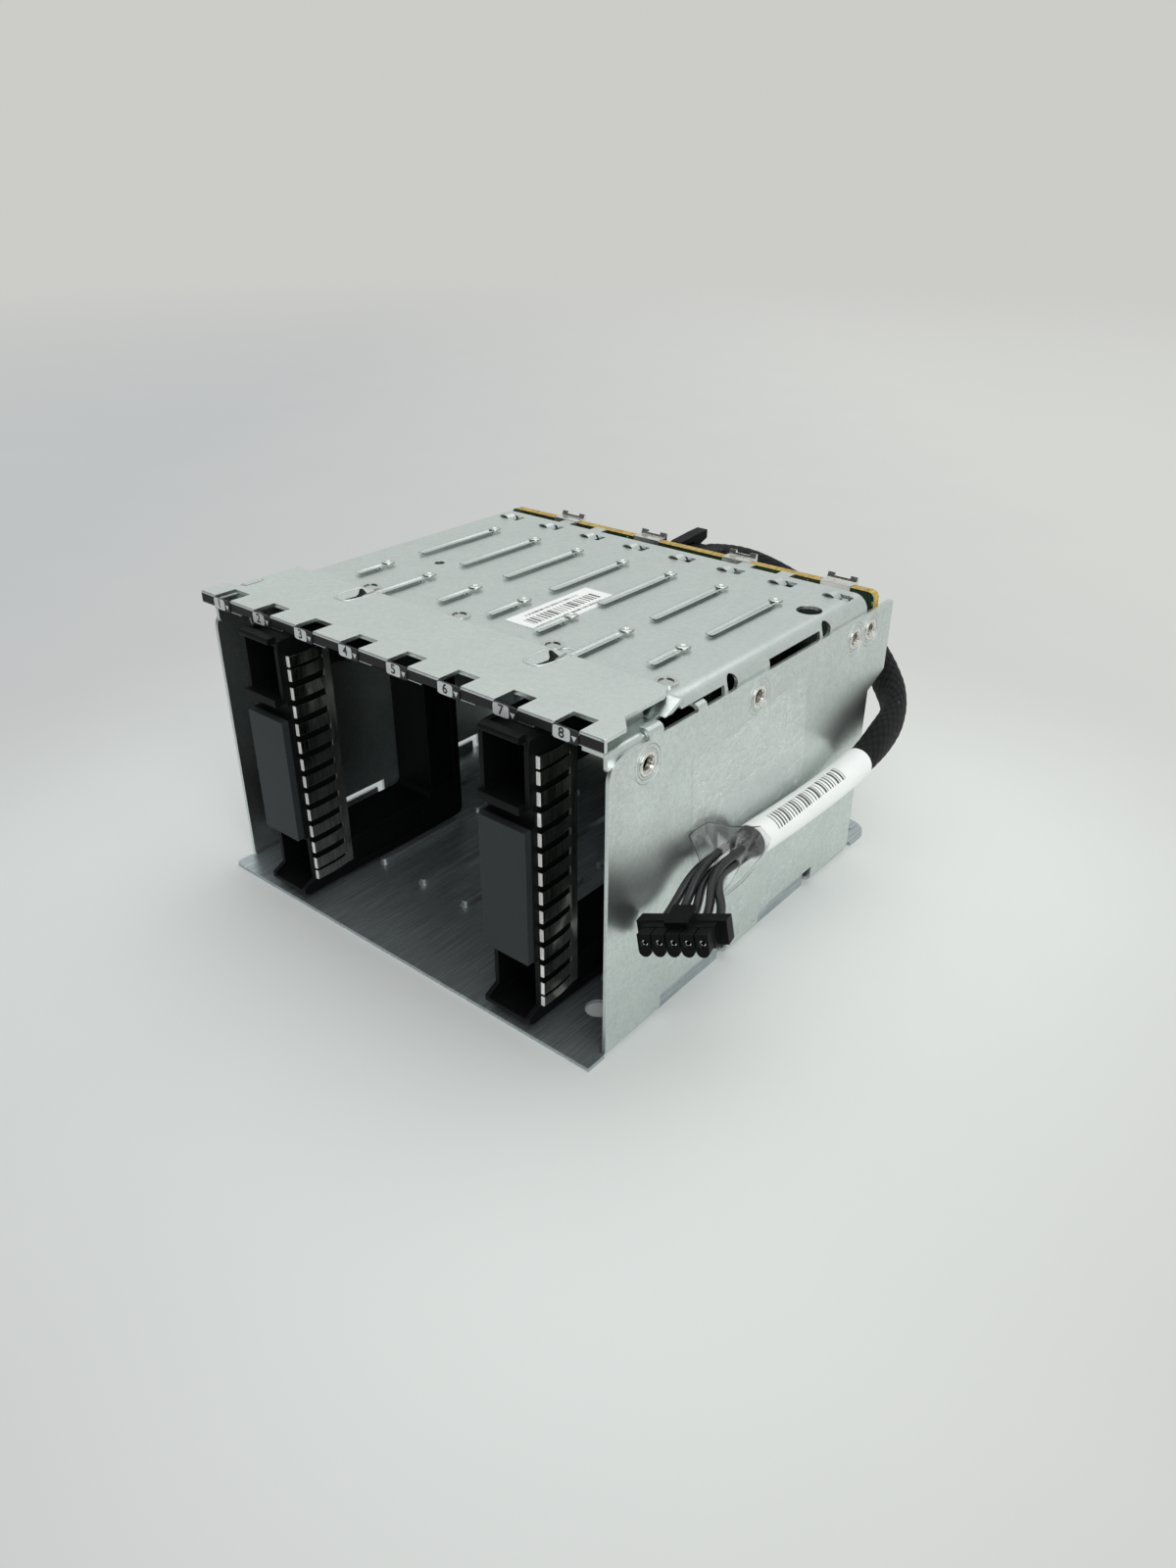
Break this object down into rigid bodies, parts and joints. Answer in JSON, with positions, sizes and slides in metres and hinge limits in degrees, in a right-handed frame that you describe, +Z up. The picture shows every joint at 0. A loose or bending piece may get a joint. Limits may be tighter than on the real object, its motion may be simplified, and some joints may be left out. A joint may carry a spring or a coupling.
{
  "type": "hot swap drive cage",
  "caption": "Folded sheet cage with upright bays for small drives, a rear backplane board, two latching drive blanks and a sleeved power lead taped along one wall.",
  "frame": {"origin": "on the underside of the base, midway between the side walls, level with the walls' front edges", "axes": "+X to the right seen from the front, +Y from the front into the cage, +Z up"},
  "size_m": [0.1616, 0.1667, 0.0843],
  "materials": {
    "galvanised": "zinc coated sheet with a faint spangle",
    "plated_steel": "bright plated",
    "spring_steel": "bright rolled spring strip",
    "contact_metal": "tinned contact",
    "black_plastic": "fine moulded grain",
    "charcoal_plastic": "matt, slightly lighter than the frame",
    "circuit_board": "dark green mask with bare tan edges",
    "woven_sleeve": "tight braid",
    "wire_jacket": "satin wire jacket",
    "label_paper": "smooth white",
    "clear_film": "glossy clear tape"
  },
  "bodies": {
    "cage": {"base_tray": "galvanised", "left_side_panel": "galvanised", "right_side_panel": "galvanised", "top_plate": "galvanised", "front_cover_plate": "galvanised", "cover_clinch_buttons": "galvanised", "left_panel_inserts": "plated_steel", "right_panel_inserts": "plated_steel", "backplane_board": "circuit_board", "board_screws": "plated_steel", "drive_connector_1": "black_plastic", "drive_connector_2": "black_plastic", "drive_connector_3": "black_plastic", "drive_connector_4": "black_plastic", "drive_connector_5": "black_plastic", "drive_connector_6": "black_plastic", "drive_connector_7": "black_plastic", "drive_connector_8": "black_plastic", "board_clip_1": "plated_steel", "board_clip_2": "plated_steel", "board_clip_3": "plated_steel", "board_clip_4": "plated_steel", "data_connector_1": "plated_steel", "data_connector_2": "plated_steel", "power_header": "black_plastic", "board_power_plug": "black_plastic", "power_lead_sleeve": "woven_sleeve", "lead_label": "label_paper", "plug_wires": "wire_jacket", "lead_plug_housing": "black_plastic", "lead_plug_contacts": "contact_metal", "clear_tape": "clear_film", "top_label": "label_paper"},
    "blank_2": {"blank_2_frame": "black_plastic", "blank_2_face_panel": "charcoal_plastic", "blank_2_finger_strip": "spring_steel"},
    "blank_2_release": {"blank_2_latch": "black_plastic"},
    "blank_7": {"blank_7_frame": "black_plastic", "blank_7_face_panel": "charcoal_plastic", "blank_7_finger_strip": "spring_steel"},
    "blank_7_release": {"blank_7_latch": "black_plastic"}
  },
  "joints": [
    {"name": "blank_2_slide", "type": "slide", "parent": "cage", "child": "blank_2", "axis": [0, -1, 0], "range_m": [0, 0.06]},
    {"name": "blank_2_latch_press", "type": "hinge", "parent": "blank_2", "child": "blank_2_release", "pos_m": [-0.0425, 0.008, 0.0774], "axis": [1, 0, 0], "range_deg": [0, 8], "stiffness_Nm_per_rad": 0.02},
    {"name": "blank_7_slide", "type": "slide", "parent": "cage", "child": "blank_7", "axis": [0, -1, 0], "range_m": [0, 0.06]},
    {"name": "blank_7_latch_press", "type": "hinge", "parent": "blank_7", "child": "blank_7_release", "pos_m": [0.0425, 0.008, 0.0774], "axis": [1, 0, 0], "range_deg": [0, 8], "stiffness_Nm_per_rad": 0.02}
  ]
}
